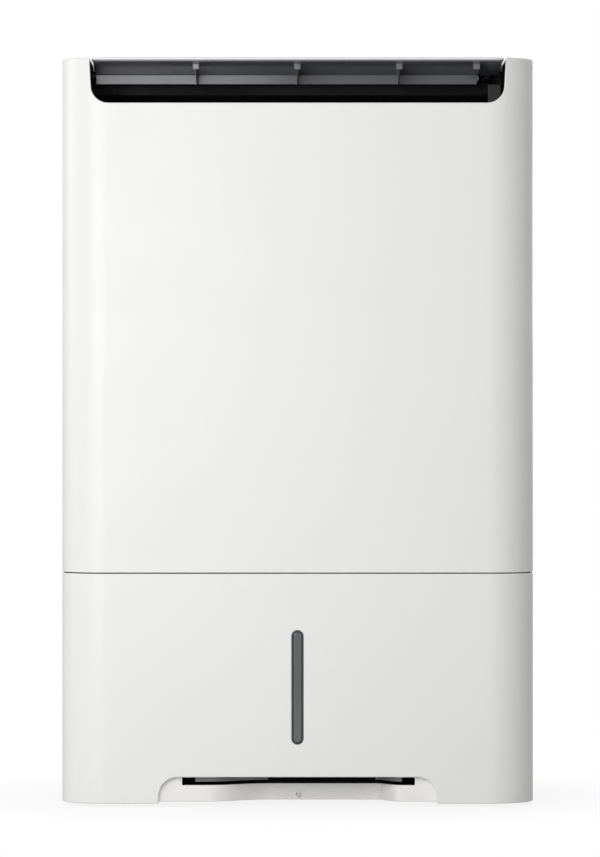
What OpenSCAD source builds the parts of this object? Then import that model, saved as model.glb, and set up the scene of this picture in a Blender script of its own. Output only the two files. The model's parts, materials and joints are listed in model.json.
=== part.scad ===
// Domestic compressor dehumidifier, upright cabinet with a front water tank.
// Millimetres. +Z up, front towards -Y, origin under the middle of the cabinet.

/* [Cabinet] */
// Cabinet width
body_w = 394.4; // [380:0.1:420]
// Cabinet depth
body_d = 249; // [245:1:270]
// Height of the top face above the floor
body_h = 623; // [618:1:660]
// Front corner radius in plan
front_r = 38; // [24:1:46]
// Rear corner radius in plan
rear_r = 30; // [20:1:40]
// Shell wall thickness
wall = 2.5; // [2:0.5:3]
// Gap between the cabinet and the floor
foot_h = 3; // [2:0.5:6]

/* [Outlet and flap] */
// Lowest point of the outlet opening
lip_z = 585.3; // [583:0.1:590]
// Half width of the outlet opening at its top
mouth_half = 173.4; // [172:0.1:176]
// Flap skin thickness
skin_t = 2; // [2:0.1:2.6]
// Radius of the flap's front corners
flap_corner = 9; // [8:0.5:14]

/* [Tank] */
// Top edge of the tank front
tank_top = 194; // [190:0.5:196]
// Gap between the tank front and the upper shell
tank_gap = 0.8; // [0.5:0.1:1.5]
// Width of the water level window
window_w = 10; // [8:0.5:14]
// Height of the water level window
window_h = 95; // [70:1:110]
// Width of the finger cutout
cut_w = 231; // [180:1:240]

/* [Fan and coils] */
// Fan wheel radius
wheel_r = 98; // [80:1:102]
// Number of fan blades
blades = 32; // [16:1:48]
// Coil tube radius
tube_r = 3.2; // [2.5:0.1:3.5]
// Tube passes in each coil row
passes = 12; // [4:2:12]

/* [Hidden] */
$fn = 64;
hw = body_w / 2;
hd = body_d / 2;
top_z = body_h;
split_y = 10;
seam = 0.4;
hinge_y = -46;
hinge_z = top_z - 10.7;
cover_y = -39.6;
cover_z = top_z - 6;
pan_z = 7;
pan_t = 4;
deck_z = 197;
deck_t = 3;
lid_z = 176;
wheel_z = 392;
scroll_r = 110;
scroll_e = 14;
part_y = 30;
tray_z = 240;
coil_z = 268;
pitch = 25;
fin_half = 145;
comp_x = -95;
comp_y = 68;
grille_half = 149;
grille_z0 = 236;
grille_z1 = 589;
bail_y = -60;
bail_z = 183.8;
float_x = -120;
float_y = -10;
float_z = 160;
drain_x = 125;
drain_z = 216;
button_x = [-84, -56, 56, 84];
button_y = -8;
foot_x = 160;
foot_y = [-74, 95];
screw_at = [[-160, 64], [160, 64], [-160, 215], [160, 215], [-161, 560], [161, 560]];
handle_y = 60;
handle_z = top_z - 7;

// ---- helpers ----
// Extrusions along each axis of a profile drawn in the other two.
module along_z(z0, z1) translate([0, 0, z0]) linear_extrude(z1 - z0) children();
module along_y(y0, y1) translate([0, y1, 0]) rotate([90, 0, 0]) linear_extrude(y1 - y0) children();
module along_x(x0, x1) translate([x0, 0, 0]) rotate([90, 0, 90]) linear_extrude(x1 - x0) children();

// Rectangle between two corners.
module box2(x0, y0, x1, y1) translate([x0, y0]) square([x1 - x0, y1 - y0]);

module box3(a, b) translate(a) cube(b - a);

// Rectangle between two corners with round corners.
module round2(x0, y0, x1, y1, r) {
    union() {
        box2(x0 + r, y0, x1 - r, y1);
        box2(x0, y0 + r, x1, y1 - r);
        for (x = [x0 + r, x1 - r], y = [y0 + r, y1 - r])
            translate([x, y]) circle(r);
    }
}

// Cabinet outline in plan, moved inwards by the inset.
module outline(inset = 0) {
    union() {
        box2(-hw + front_r, -hd + inset, hw - front_r, 0);
        box2(-hw + rear_r, -1, hw - rear_r, hd - inset);
        box2(-hw + inset, -hd + front_r, hw - inset, hd - rear_r);
        for (s = [-1, 1]) {
            translate([s * (hw - front_r), -hd + front_r]) circle(front_r - inset);
            translate([s * (hw - rear_r), hd - rear_r]) circle(rear_r - inset);
        }
    }
}

// The part of the outline between two depths.
module outline_between(inset, y0, y1) {
    intersection() {
        outline(inset);
        box2(-hw - 1, y0, hw + 1, y1);
    }
}

// A disc or tube lying along Y, and one lying along X.
module disc_y(x, z, r, y0, y1) translate([x, y1, z]) rotate([90, 0, 0]) cylinder(r = r, h = y1 - y0);
module disc_x(y, z, r, x0, x1) translate([x0, y, z]) rotate([0, 90, 0]) cylinder(r = r, h = x1 - x0);

function unit(v) = v / norm(v);
function side(d) = unit(abs(d[2]) < 0.9 ? cross([0, 0, 1], d) : cross([1, 0, 0], d));

// A frame whose columns are the three given axes, placed at a point.
module axes(u, v, w, at)
    multmatrix([[u[0], v[0], w[0], at[0]], [u[1], v[1], w[1], at[1]],
        [u[2], v[2], w[2], at[2]], [0, 0, 0, 1]]) children();

// Straight rod between two points.
module rod(a, b, r) {
    d = unit(b - a);
    u = side(d);
    axes(u, cross(d, u), d, a) cylinder(r = r, h = norm(b - a));
}

// Bent tube along right-angled points, with elbows of the given radius.
module pipe(pts, r, bend) {
    last = len(pts) - 1;
    for (i = [0 : last - 1]) {
        d = unit(pts[i + 1] - pts[i]);
        a = pts[i] + d * (i == 0 ? 0 : bend);
        b = pts[i + 1] - d * (i == last - 1 ? 0 : bend);
        rod(a, b, r);
    }
    for (i = [1 : last - 1]) {
        d1 = unit(pts[i] - pts[i - 1]);
        d2 = unit(pts[i + 1] - pts[i]);
        axes(-d2, d1, cross(-d2, d1), pts[i] - d1 * bend + d2 * bend)
            rotate_extrude(angle = 90) translate([bend, 0]) circle(r);
    }
}

// Half ring that joins two parallel tubes; it bulges towards the given direction.
module return_bend(at, out, across, radius)
    axes(across, out, cross(across, out), at)
        rotate_extrude(angle = 180) translate([radius, 0]) circle(tube_r);

// Outlet opening in the front view, with a small draft on its sides.
module mouth2(grow = 0) {
    r = 14.5 + grow;
    low = mouth_half - 1.5 + grow;
    union() {
        polygon([[-low, lip_z + r - grow], [low, lip_z + r - grow], [mouth_half + grow, top_z + 5],
            [-mouth_half - grow, top_z + 5]]);
        box2(-low + r, lip_z - grow, low - r, lip_z + r);
        for (s = [-1, 1]) translate([s * (low - r), lip_z + r - grow]) circle(r);
    }
}

// ---- cabinet ----
module base_pan() color("#3a3c3e") {
    difference() {
        union() {
            along_z(pan_z, pan_z + pan_t) box2(-188, -92, 188, split_y + 4);
            along_z(pan_z, pan_z + pan_t) outline_between(wall, split_y + 2, hd);
            for (p = mount_points()) translate([p[0], p[1], pan_z + pan_t - 1]) cylinder(r = 9, h = 3);
            along_z(pan_z + pan_t - 1, 22) difference() {
                outline_between(wall, split_y + 5, hd);
                outline_between(wall + 2.5, split_y + 7.5, hd);
            }
        }
        for (p = mount_points()) translate([p[0], p[1], 0]) cylinder(r = 3, h = 30);
        for (x = [-foot_x, foot_x], y = foot_y) translate([x, y, 0]) cylinder(r = 4, h = 30);
    }
}

function mount_points() = [for (a = [60, 180, 300])
    [comp_x + (a == 180 ? 52 : 54) * cos(a), comp_y + 48 * sin(a)]];

module rubber_feet() color("#202122")
    for (x = [-foot_x, foot_x], y = foot_y) translate([x, y, 0]) {
        union() {
            cylinder(r1 = 11, r2 = 13, h = foot_h);
            translate([0, 0, foot_h]) cylinder(r = 13, h = pan_z - foot_h);
            translate([0, 0, pan_z]) cylinder(r = 3.95, h = pan_t + 1);
        }
    }

module front_shell() color("#e9e9e8") {
    difference() {
        union() {
            difference() {
                along_z(tank_top + tank_gap, top_z) outline_between(0, -hd - 1, split_y - seam);
                along_z(tank_top - 5, top_z - wall) outline_between(wall, -hd, split_y + 5);
            }
            along_y(-hd + 1, -hd + 3.3) difference() {
                intersection() {
                    mouth2(2.4);
                    box2(-164, lip_z - 5, 164, top_z - 1);
                }
                mouth2();
            }
        }
        along_y(-hd - 1, cover_y) mouth2();
        box3([-hw - 1, cover_y - seam, cover_z - 0.2], [hw + 1, split_y + 5, top_z + 1]);
    }
}

module rear_shell() color("#e9e9e8") {
    difference() {
        union() {
            difference() {
                along_z(foot_h, cover_z - 0.2) outline_between(0, split_y + seam, hd + 1);
                along_z(foot_h - 1, cover_z + 1) outline_between(wall, split_y - 5, hd);
            }
            disc_y(drain_x, drain_z, 19.5, 100, hd - 1);
            for (p = screw_at) disc_y(p[0], p[1], 7, 112, hd - 1);
        }
        along_y(100, hd + 1) round2(-151, grille_z0 - 4, 151, grille_z1 + 3, 8);
        disc_y(drain_x, drain_z, 17, 102.5, hd + 1);
        disc_y(drain_x, drain_z, 7.1, 90, hd + 1);
        disc_y(-150, 40, 11, 110, hd + 1);
        for (p = screw_at) {
            disc_y(p[0], p[1], 4.3, 120, hd + 1);
            disc_y(p[0], p[1], 2, 100, hd + 1);
        }
    }
}

module top_cover() color("#e9e9e8") {
    difference() {
        union() {
            difference() {
                along_z(cover_z, top_z) outline_between(0, cover_y, hd + 1);
                along_z(cover_z - 1, top_z - 4.4) outline_between(6, cover_y + 6, hd);
            }
            along_z(top_z - 25, top_z - 4) box2(-72.5, handle_y - 10, 72.5, handle_y + 42);
        }
        along_z(top_z - 22.5, top_z + 1) round2(-70, handle_y - 7.5, 70, handle_y + 39.5, 6);
        along_z(top_z - 3.4, top_z + 1) round2(-112.3, -30.3, 112.3, 14.3, 6);
        along_z(top_z - 10, top_z) round2(-104, -22, 104, 6, 4);
        for (s = [-1, 1]) disc_x(handle_y, handle_z, 3.1, s > 0 ? 60 : -72.6, s > 0 ? 72.6 : -60);
    }
}

module outlet_duct() color("#151617") {
    difference() {
        intersection() {
            along_z(500, top_z) outline(wall + 0.3);
            along_x(-hw, hw) polygon([[-38.5, 506], [-120.9, 577.5], [-120.9, 620.4], [-40, 620.4],
                [-40, cover_z - 0.3], [-35.5, cover_z - 0.3], [-35.5, 598], [part_y, 512],
                [part_y, 506]]);
            along_y(-hd, hd) polygon([[-154.5, 506], [-154.5, 520], [-175.9, 545], [-175.9, 620.4],
                [175.9, 620.4], [175.9, 560], [0, 512], [0, 506]]);
        }
        intersection() {
            along_x(-hw, hw) polygon([[-36, 500], [-36, 507.2], [-118.7, 578.7], [-118.7, 584.8],
                [-130, 584.8], [-130, 640], [-38, 640], [-38, 597.2], [27.5, 511.2], [27.5, 500]]);
            along_y(-hd - 10, hd) polygon([[-152, 500], [-152, 519], [-mouth_half, 544],
                [-mouth_half, 640], [mouth_half, 640], [mouth_half, 562], [-2.5, 514.6], [-2.5, 500]]);
        }
        disc_x(hinge_y, hinge_z, 3, -180, -170);
    }
}

module outlet_guard() color("#151617") {
    intersection() {
        union() {
            for (x = [-165 : 15 : 165]) along_x(x - 0.8, x + 0.8) box2(-100, 560, 30, 570);
            for (y = [-80, -52, -24]) box3([-180, y - 1, 562], [180, y + 1, 568]);
        }
        along_x(-hw, hw) polygon([[-36.3, 500], [-36.3, 507.6], [-118, 579], [-118, 600],
            [-38.2, 600], [-38.2, 597], [27.2, 511], [27.2, 500]]);
        along_y(-hd, hd) polygon([[-151, 500], [-151, 519], [-173, 544.5], [-173, 640],
            [173, 640], [173, 562.4], [-2, 515], [-2, 500]]);
    }
}

module control_panel() color("#101113") {
    difference() {
        along_z(top_z - 3.4, top_z - 1.2) round2(-112, -30, 112, 14, 5.7);
        for (x = button_x) translate([x, button_y, top_z - 10]) cylinder(r = 7.4, h = 20);
    }
}

module display_board() color("#1f5a38") {
    union() {
        along_z(top_z - 13.6, top_z - 12) box2(-102, -20, 102, 4);
        for (x = button_x) box3([x - 3, button_y - 3, top_z - 12.1], [x + 3, button_y + 3, top_z - 9]);
        for (x = [-36, 0, 36]) box3([x - 9, -14, top_z - 12.1], [x + 9, -2, top_z - 4.2]);
        for (x = [-98, 98]) box3([x - 3, -18, top_z - 12.1], [x + 3, -12, top_z - 3.5]);
    }
}

module flap_motor() color("#c9ccce") {
    union() {
        disc_x(hinge_y, hinge_z, 7.2, -190, -176.6);
        disc_x(hinge_y, hinge_z, 2, -177, -159);
    }
}

module flap_brackets() color("#232427")
    for (s = [-1, 1]) difference() {
        along_x(s > 0 ? 157.2 : -157.4, s > 0 ? 162.4 : -152.4) union() {
            translate([hinge_y, hinge_z]) circle(5.4);
            box2(hinge_y, hinge_z - 5, -38, hinge_z + 4);
            box2(-42, 598, -38, hinge_z);
        }
        disc_x(hinge_y, hinge_z, 3.1, s > 0 ? 150 : -160, s > 0 ? 164 : -150);
    }

// ---- inside the lower cabinet ----
module mid_deck() color("#3a3c3e") {
    difference() {
        union() {
            along_z(deck_z, deck_z + deck_t) outline_between(wall, -hd, part_y + 3);
            box3([-150, -118, deck_z + 2], [-146, 20, deck_z + 9]);
            box3([70, -118, deck_z + 2], [74, 20, deck_z + 9]);
        }
        translate([60, -20, deck_z - 1]) cylinder(r = 6.4, h = 20);
    }
}

module bay_wall() color("#3a3c3e") {
    union() {
        box3([-190, split_y + 2, pan_z + pan_t], [190, split_y + 4, deck_z]);
        for (x = [-60, 60]) box3([x - 1.5, split_y - 4, pan_z + pan_t], [x + 1.5, split_y + 3, deck_z]);
    }
}

module drip_tray() color("#4a4d50") {
    difference() {
        along_z(tray_z, tray_z + 18) box2(-166, part_y + 3, 166, 112);
        along_z(tray_z + 2.5, tray_z + 20) box2(-163.5, part_y + 5.5, 163.5, 109.5);
        disc_y(60, tray_z + 9, 6.3, 20, part_y + 10);
        translate([drain_x, 60, tray_z - 1]) cylinder(r = 4.5, h = 5);
    }
}

module drain_spout() color("#8d9194") {
    difference() {
        pipe([[60, part_y + 8, tray_z + 9], [60, -20, tray_z + 9], [60, -20, deck_z - 8]], 6, 12);
        pipe([[60, part_y + 9, tray_z + 9], [60, -20, tray_z + 9], [60, -20, deck_z - 9]], 4, 12);
    }
}

module drain_spigot() color("#dcdcda") {
    difference() {
        union() {
            disc_y(drain_x, drain_z, 7, 88, 120);
            disc_y(drain_x, drain_z, 10, 97, 100);
        }
        disc_y(drain_x, drain_z, 4.5, 80, 130);
    }
}

module drain_hose() color("#6b6f72") {
    difference() {
        pipe([[drain_x, 88, drain_z], [drain_x, 60, drain_z], [drain_x, 60, tray_z]], 7, 12);
        pipe([[drain_x, 89, drain_z], [drain_x, 60, drain_z], [drain_x, 60, tray_z + 1]], 4.5, 12);
    }
}

module compressor() color("#1b1c1e") {
    difference() {
        union() {
            translate([comp_x, comp_y, 0]) rotate_extrude()
                polygon([[0, 21], [36, 21], [46, 36], [46, 163], [42, 176], [28, 185], [0, 188]]);
            for (p = mount_points()) {
                arm = [p[0] - comp_x, p[1] - comp_y];
                translate([p[0], p[1], 21]) cylinder(r = 9, h = 3);
                translate([comp_x, comp_y, 21]) rotate(atan2(arm[1], arm[0]))
                    translate([0, -8, 0]) cube([norm(arm), 16, 3]);
            }
        }
        for (p = mount_points()) translate([p[0], p[1], 0]) cylinder(r = 5.1, h = 26);
    }
}

module compressor_grommets() color("#28292b")
    for (p = mount_points()) translate([p[0], p[1], 0]) difference() {
        union() {
            translate([0, 0, 13.05]) cylinder(r = 9, h = 7.95);
            translate([0, 0, 21]) cylinder(r = 5, h = 3.2);
            translate([0, 0, 24.2]) cylinder(r = 8, h = 3);
        }
        translate([0, 0, 10]) cylinder(r = 3, h = 20);
    }

module compressor_bolts() color("#b9bcbe")
    for (p = mount_points()) translate([p[0], p[1], 0]) union() {
        translate([0, 0, 8]) cylinder(r = 2.9, h = 20);
        translate([0, 0, 27.2]) cylinder(r = 7, h = 1.2);
        translate([0, 0, 28.4]) cylinder(r = 5, h = 4, $fn = 6);
    }

module terminal_cover() color("#161616")
    translate([comp_x - 8, comp_y + 6, 0]) union() {
        translate([0, 0, 188]) cylinder(r = 15, h = 8);
        translate([0, 0, 196]) cylinder(r1 = 15, r2 = 12, h = 2.4);
    }

module accumulator() color("#1b1c1e")
    translate([-22, 70, 0]) rotate_extrude()
        polygon([[0, 62], [6, 62], [18, 74], [18, 136], [6, 150], [0, 150]]);

// Serpentine of two rows of tubes joined at the top, with both ends at lower left.
module coil(y0, y1) {
    z_last = coil_z + (passes - 1) * pitch;
    union() {
        for (y = [y0, y1]) {
            for (i = [0 : passes - 1]) disc_x(y, coil_z + i * pitch, tube_r, -152, 150);
            for (i = [0 : 2 : passes - 2])
                return_bend([150, y, coil_z + (i + 0.5) * pitch], [1, 0, 0], [0, 0, 1], pitch / 2);
            for (i = [1 : 2 : passes - 2])
                return_bend([-152, y, coil_z + (i + 0.5) * pitch], [-1, 0, 0], [0, 0, 1], pitch / 2);
        }
        return_bend([-152, (y0 + y1) / 2, z_last], [-1, 0, 0], [0, 1, 0], (y1 - y0) / 2);
    }
}

// Finned block with a hole for every tube of its coil.
module fins(ya, yb, y0, y1) {
    along_x(-fin_half, fin_half) difference() {
        box2(ya, tray_z + 2.5, yb, coil_z + passes * pitch);
        for (y = [y0, y1], i = [0 : passes - 1])
            translate([y, coil_z + i * pitch]) circle(tube_r + 0.05);
    }
}

module condenser_fins() color("#b8bcc0") fins(43, 67, 50, 60);
module condenser_tubes() color("#b87048") coil(50, 60);
module evaporator_fins() color("#b8bcc0") fins(77, 102, 84, 95);
module evaporator_tubes() color("#b87048") coil(84, 95);

// Suction and discharge pipes, both brazed to the compressor.
module compressor_pipes() color("#b87048") {
    pipe([[-22, 70, 150], [-22, 70, 205], [-182, 70, 205], [-182, 95, 205], [-182, 95, coil_z],
        [-152.2, 95, coil_z]], 4, 10);
    pipe([[-22, 70, 62], [-22, 70, 46], [-46.9, 70, 46]], 4, 10);
    pipe([[-72, 50, 185.3], [-72, 50, 222], [-182, 50, 222], [-182, 50, coil_z],
        [-152.2, 50, coil_z]], 3.2, 10);
}

module capillary_tube() color("#b87048") {
    union() {
        pipe([[-152.2, 60, coil_z], [-174, 60, coil_z], [-174, 60, 228], [-174, 84, 228],
            [-174, 84, coil_z], [-152.2, 84, coil_z]], 1.5, 4);
        disc_y(-174, 228, 6, 65, 79);
    }
}

// ---- fan ----
// Spiral casing outline in the front view, open upwards on its left.
module spiral2(grow) {
    r = scroll_r + grow;
    e = scroll_e;
    translate([0, wheel_z]) union() {
        intersection() {
            circle(r);
            box2(-1, -1, 200, 200);
        }
        intersection() {
            translate([-e, 0]) circle(r + e);
            box2(-e - 1, -200, 200, 0.5);
        }
        intersection() {
            translate([-e, e]) circle(r + 2 * e);
            box2(-200, -200, -e, e + 0.5);
        }
        box2(-e - scroll_r - 2 * e - grow, e, grow - 2.5, 506 - wheel_z);
        circle(scroll_r - 4);
    }
}

module fan_scroll() color("#2a2c2e") {
    difference() {
        along_y(-36, part_y) spiral2(wall);
        along_y(-36 + wall, part_y + 1) intersection() {
            spiral2(0);
            box2(-hw, 0, hw, 600);
        }
        along_y(-36 + wall, part_y + 1) box2(-152, 480, -2.5, 520);
        disc_y(0, wheel_z, 12, -50, 0);
    }
}

module fan_partition() color("#3a3c3e") {
    difference() {
        union() {
            along_y(part_y, part_y + 3) box2(-hw + wall + 0.1, deck_z + deck_t, hw - wall - 0.1, 614);
            disc_y(0, wheel_z, 79, part_y - 5, part_y + 1);
        }
        disc_y(0, wheel_z, 76, 0, 50);
        disc_y(60, tray_z + 9, 6.2, 0, 50);
    }
}

module fan_motor() color("#8f9497") {
    difference() {
        union() {
            disc_y(0, wheel_z, 42, -92, -44);
            disc_y(0, wheel_z, 34, -97, -91);
            disc_y(0, wheel_z, 20, -45, -40);
            for (a = [45, 135, 225, 315])
                disc_y(48 * cos(a), wheel_z + 48 * sin(a), 5, -47, -40);
            for (a = [45, 135]) translate([0, -47, wheel_z]) rotate([0, a, 0])
                translate([-48, 0, -3]) cube([96, 3, 6]);
        }
        disc_y(0, wheel_z, 4.1, -100, 0);
    }
}

module motor_mount() color("#b9bcbe") {
    difference() {
        disc_y(0, wheel_z, 60, -40, -36);
        disc_y(0, wheel_z, 14, -50, 0);
        for (a = [0, 90, 180, 270]) disc_y(34 * cos(a), wheel_z + 34 * sin(a), 9, -50, 0);
    }
}

module fan_wheel() color("#dfe0df") {
    difference() {
        union() {
            disc_y(0, wheel_z, wheel_r, -30, -28);
            along_y(20.5, 23) difference() {
                translate([0, wheel_z]) circle(wheel_r);
                translate([0, wheel_z]) circle(wheel_r - 12);
            }
            for (i = [0 : blades - 1]) translate([0, -28.5, wheel_z]) rotate([0, i * 360 / blades, 0])
                translate([wheel_r - 10.7, 0, 0]) rotate([0, 35, 0]) cube([10, 49.5, 1.4]);
            disc_y(0, wheel_z, 12, -30, -4);
        }
        disc_y(0, wheel_z, 4, -40, 0);
    }
}

module fan_shaft() color("#b9bcbe") disc_y(0, wheel_z, 3.96, -95, 4);

module fan_nut() color("#b9bcbe") difference() {
    translate([0, 2, wheel_z]) rotate([90, 0, 0]) cylinder(r = 7.5, h = 6, $fn = 6);
    disc_y(0, wheel_z, 4, -10, 10);
}

// ---- electrics ----
module control_box() color("#d9dad8") translate([-4, 2, 0]) {
    difference() {
        along_z(deck_z + deck_t, 300) round2(118, -110, 188, -40, 4);
        along_z(deck_z + deck_t + 2, 301) round2(120, -108, 186, -42, 2);
        box3([110, -90, 280], [125, -60, 301]);
    }
}

module main_board() color("#1f5a38") translate([-4, 2, 0]) {
    union() {
        box3([121, -107, 206], [185, -43, 207.6]);
        for (x = [122.5, 183.5], y = [-105.5, -44.5]) translate([x, y, 202]) cylinder(r = 1.5, h = 5);
        box3([130, -100, 207], [150, -82, 222]);
        box3([158, -96, 207], [178, -74, 226]);
        translate([140, -62, 207]) cylinder(r = 8, h = 22);
        box3([160, -64, 207], [180, -50, 218]);
    }
}

module run_capacitor() color("#c6c9cb") {
    union() {
        translate([-120, -80, deck_z + deck_t]) cylinder(r = 20, h = 68);
        translate([-120, -80, 268]) cylinder(r = 16, h = 3);
        for (x = [-126, -114]) box3([x - 0.5, -83, 270], [x + 0.5, -77, 279]);
    }
}

module cord_gland() color("#2a2b2d") {
    difference() {
        union() {
            disc_y(-150, 40, 10.9, 118, hd - 0.1);
            disc_y(-150, 40, 13, 116, hd - wall);
            disc_y(-150, 40, 8, 102, 117);
        }
        disc_y(-150, 40, 4, 90, 130);
    }
}

module shell_screws() color("#5c5f62")
    for (p = screw_at) difference() {
        union() {
            disc_y(p[0], p[1], 4, 120, 122.6);
            disc_y(p[0], p[1], 1.9, 108, 120.5);
        }
        box3([p[0] - 2, 121.4, p[1] - 0.5], [p[0] + 2, 124, p[1] + 0.5]);
        box3([p[0] - 0.5, 121.4, p[1] - 2], [p[0] + 0.5, 124, p[1] + 2]);
    }

module tank_sensor() color("#1d1e20") {
    union() {
        box3([float_x - 9, split_y - 5, float_z - 12], [float_x + 9, split_y + 2, float_z + 12]);
        box3([float_x - 14, split_y, float_z - 5], [float_x + 14, split_y + 2, float_z + 5]);
    }
}

// ---- flap ----
// Flap outline in plan: its front follows the cabinet's, with corners that clear the mouth.
module flap_outline(inset) {
    intersection() {
        outline(1 + inset);
        box2(-171.8 + inset, -hd, 171.8 - inset, -40.5);
        round2(-171.8 + inset, -hd + 1 + inset, 171.8 - inset, -20, flap_corner - inset);
    }
}

module flap_skin() color("#e9e9e8") along_z(top_z - skin_t, top_z) flap_outline(0);

module flap_liner() color("#33353a") {
    under = top_z - skin_t;
    union() {
        intersection() {
            along_x(-171, 171) polygon([[-122, under], [-52, under], [-52, under - 8],
                [-122, under - 1.2]]);
            along_z(under - 20, under + 1) flap_outline(1.4);
        }
        along_x(-170.4, 151.5) box2(-55, hinge_z - 7, -52, under);
        for (x = [-84.6, 0.1, 85]) {
            along_x(x - 0.6, x + 0.6) polygon([[-112, under - 1], [-54, under - 1],
                [-54, hinge_z - 7], [-68, hinge_z - 8.5], [-100, under - 8]]);
            box3([x - 2.8, -110, under - 7], [x + 2.4, -105, under - 0.5]);
        }
        for (s = [-1, 1]) {
            along_x(s > 0 ? 145 : -149, s > 0 ? 149 : -145) union() {
                translate([hinge_y, hinge_z]) circle(6.5);
                polygon([[-54, under - 1], [-52, under - 1], [hinge_y, hinge_z + 6.4],
                    [hinge_y, hinge_z - 6.4], [-54, hinge_z - 6.5]]);
            }
            disc_x(hinge_y, hinge_z, 3, s > 0 ? 148 : -158, s > 0 ? 163 : -148);
        }
        box3([146.4, -110, under - 7], [152, -104, under - 0.5]);
    }
}

// ---- tank ----
// The bucket steps back behind the finger scoop.
module scoop_step(grow) box3([-200, -130, 0], [200, -62 + grow, 30 + grow]);

module tank_bucket() color("#c9cdd0", 0.7) {
    difference() {
        union() {
            along_z(13.5, lid_z) round2(-178, -118, 178, 2, 16);
            for (x = [-120, 120]) box3([x - 3, -60, 11.1], [x + 3, -4, 14]);
        }
        scoop_step(0);
        difference() {
            along_z(15.7, lid_z + 1) round2(-175.8, -115.8, 175.8, -0.2, 13.8);
            scoop_step(2.2);
        }
    }
}

module tank_fascia() color("#e9e9e8") {
    half = cut_w / 2;
    cut_z = 25;
    r = 16;
    difference() {
        union() {
            along_z(foot_h, tank_top) difference() {
                outline_between(0, -hd - 1, split_y - seam);
                outline_between(wall, -hd, split_y + 5);
            }
            for (x = [-120, 120], z = [40, 150]) box3([x - 10, -hd + 2, z - 5], [x + 10, -118, z + 5]);
            for (x = [-130, 130]) box3([x - 7, -hd + 2, 10], [x + 7, -119, 26]);
        }
        along_y(-hd - 1, -hd + wall + 0.5) union() {
            box2(-half + r, -5, half - r, cut_z);
            box2(-half, -5, half, cut_z - r);
            for (s = [-1, 1]) translate([s * (half - r), cut_z - r]) circle(r);
        }
        along_y(-hd - 1, -hd + wall + 0.5) window2(0);
    }
}

// Round-ended window outline in the front view.
module window2(grow) {
    mid = 99.5;
    r = window_w / 2 + grow;
    h = window_h / 2 - window_w / 2;
    union() {
        box2(-r, mid - h, r, mid + h);
        for (s = [-1, 1]) translate([0, mid + s * h]) circle(r);
    }
}

module tank_window() color("#5d6064", 0.8) {
    union() {
        along_y(-hd + 0.9, -hd + wall + 0.2) window2(-0.15);
        along_y(-hd + wall, -118) window2(3);
    }
}

module tank_lid() color("#d4d6d6") {
    difference() {
        union() {
            along_z(lid_z, lid_z + 3) round2(-178, -118, 178, 2, 16);
            along_z(lid_z - 3, lid_z + 1) round2(-175.5, -115.5, 175.5, -0.5, 13.5);
            for (s = [-1, 1]) box3([s * 168.5 - 2.5, bail_y - 7, lid_z + 2],
                [s * 168.5 + 2.5, bail_y + 7, bail_z + 3.2]);
            for (s = [-1, 1]) box3([float_x + s * 15 - 2, float_y - 5, float_z - 4],
                [float_x + s * 15 + 2, float_y + 5, lid_z + 1]);
            disc_x(float_y, float_z, 1.42, float_x - 16, float_x + 16);
        }
        difference() {
            along_z(lid_z - 5, lid_z) round2(-172.5, -112.5, 172.5, -3.5, 11);
            box3([float_x - 18, float_y - 6, lid_z - 6], [float_x + 18, float_y + 6, lid_z + 1]);
        }
        translate([60, -20, lid_z - 5]) cylinder(r = 12, h = 20);
        along_z(lid_z - 6, lid_z + 20) round2(90, -95, 150, -55, 8);
        for (s = [-1, 1]) disc_x(bail_y, bail_z, 2.1, s * 168.5 - 3, s * 168.5 + 3);
    }
}

// Plan of the scoop's face: a flat recess between two soft ramps.
function ease(t) = t * t * (3 - 2 * t);
function scoop_face(back) = concat(
    [for (i = [0 : 8]) [-75 - back * 0.24 + 50 * i / 8, -119 + back + 22 * ease(i / 8)]],
    [for (i = [0 : 6]) [65 + back * 0.5 + 20 * i / 6, -97 + back - 22 * ease(i / 6)]]);

module grip_scoop() color("#e4e3df") {
    front = concat([[-137, -119]], scoop_face(0), [[137, -119]]);
    rear = concat([[-137, -116.5]], scoop_face(2.5), [[137, -116.5]]);
    last = len(rear) - 1;
    difference() {
        along_z(4.4, 25.5) polygon(concat(front, [for (i = [0 : last]) rear[last - i]]));
        along_y(-125, -90) union() {
            box2(-96, 18, 97.5, 20.8);
            for (x = [[-96, -85.2], [-24.8, 65.2], [86.8, 97.5]]) box2(x[0], 20, x[1], 24.4);
        }
    }
}

module grip_pocket() color("#17181a") {
    difference() {
        along_z(14.4, 28.4) polygon(concat([[-101, -66], [-101, -116.2]], scoop_face(2.8),
            [[102, -116.2], [102, -66]]));
        box3([-99.4, -130, 16], [100.4, -67.6, 26.8]);
    }
}

module tank_handle() color("#44474a") {
    front = -114;
    union() {
        for (s = [-1, 1]) {
            along_x(s * 174.2 - 2.2, s * 174.2 + 2.2) union() {
                translate([bail_y, bail_z]) circle(2.7);
                box2(front, bail_z - 2.5, bail_y, bail_z + 2.5);
            }
            disc_x(bail_y, bail_z, 2, s > 0 ? 166.2 : -173, s > 0 ? 173 : -166.2);
        }
        along_z(bail_z - 2.5, bail_z + 2.5) box2(-176.4, front, 176.4, front + 9);
    }
}

module tank_float() color("#e6e6e2") {
    difference() {
        union() {
            box3([float_x - 20, -72, 138], [float_x + 20, -40, 156]);
            box3([float_x - 3, -60, 154], [float_x + 3, -40, 160]);
            along_x(float_x - 3, float_x + 3) polygon([[-60, 155], [-40, 155], [-7, 157.5], [-7, 163],
                [-12, 163], [-50, 160]]);
            disc_x(float_y, float_z, 4, float_x - 12, float_x + 12);
        }
        disc_x(float_y, float_z, 1.5, float_x - 20, float_x + 20);
        box3([float_x - 2.95, -7, 157.9], [float_x + 2.95, 0, 162.6]);
    }
}

module float_magnet() color("#55585b") box3([float_x - 2.9, -6.95, 158], [float_x + 2.9, -3, 162.5]);

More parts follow.
